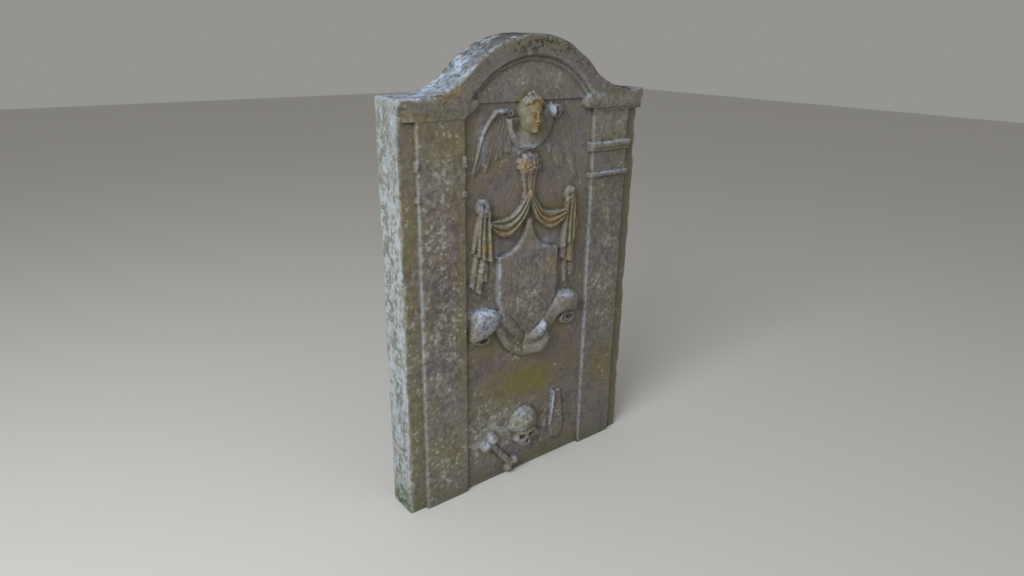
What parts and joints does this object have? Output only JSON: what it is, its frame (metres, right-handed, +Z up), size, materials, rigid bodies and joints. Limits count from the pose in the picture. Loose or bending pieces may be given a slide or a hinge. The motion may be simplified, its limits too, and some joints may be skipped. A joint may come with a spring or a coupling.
{
  "type": "headstone",
  "caption": "Upright carved sandstone headstone with an arched top, pilasters, a winged head, swags of cloth, a shield on a ribbon and mortality emblems at the foot.",
  "frame": {"origin": "middle of the slab's flat underside, halfway through the slab's thickness", "axes": "+Z up, +X to the right when facing the carved side, carved side towards -Y"},
  "size_m": [0.9, 0.1639, 1.415],
  "materials": {
    "sandstone": "weathered, lichen-grown carved sandstone"
  },
  "bodies": {
    "root": {"headstone": "sandstone"}
  },
  "joints": []
}
